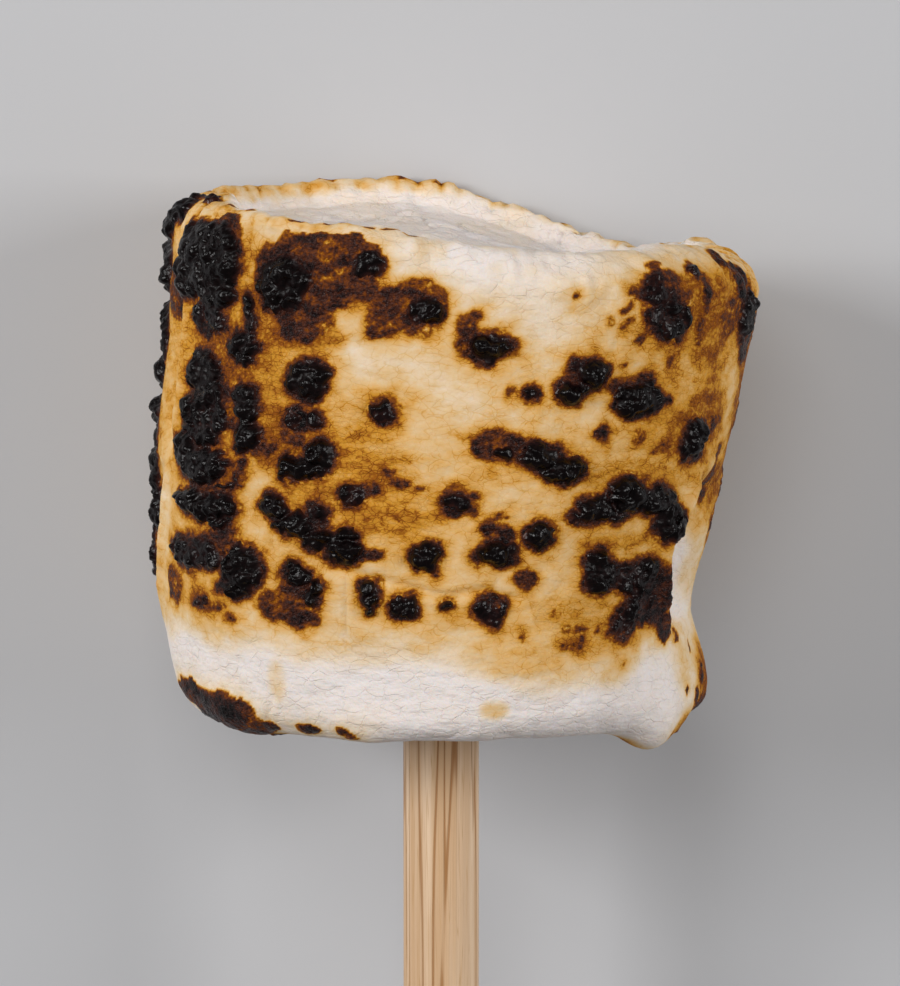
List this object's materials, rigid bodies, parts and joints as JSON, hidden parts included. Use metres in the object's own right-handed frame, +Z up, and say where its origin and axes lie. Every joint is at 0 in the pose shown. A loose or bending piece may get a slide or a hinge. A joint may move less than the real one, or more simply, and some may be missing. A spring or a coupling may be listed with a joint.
{
  "type": "toasted marshmallow",
  "caption": "Fire-toasted marshmallow with a dished top, blistered burnt crusts and a folded side, on a round wooden stick, lying on its back.",
  "frame": {"origin": "middle of the flattened spot on the marshmallow's back, on the surface that it lies on", "axes": "+Y along the stick towards the marshmallow's dished top, +Z up out of its toasted front, +X to the right of that front"},
  "size_m": [0.0324, 0.1075, 0.0275],
  "materials": {
    "toasted_skin": "soft matte marshmallow skin, white at the ends, golden brown between, glossy black where burnt",
    "pale_wood": "unfinished pale wood with a fine grain along the stick"
  },
  "bodies": {
    "root": {"marshmallow": "toasted_skin", "stick": "pale_wood"}
  },
  "joints": []
}
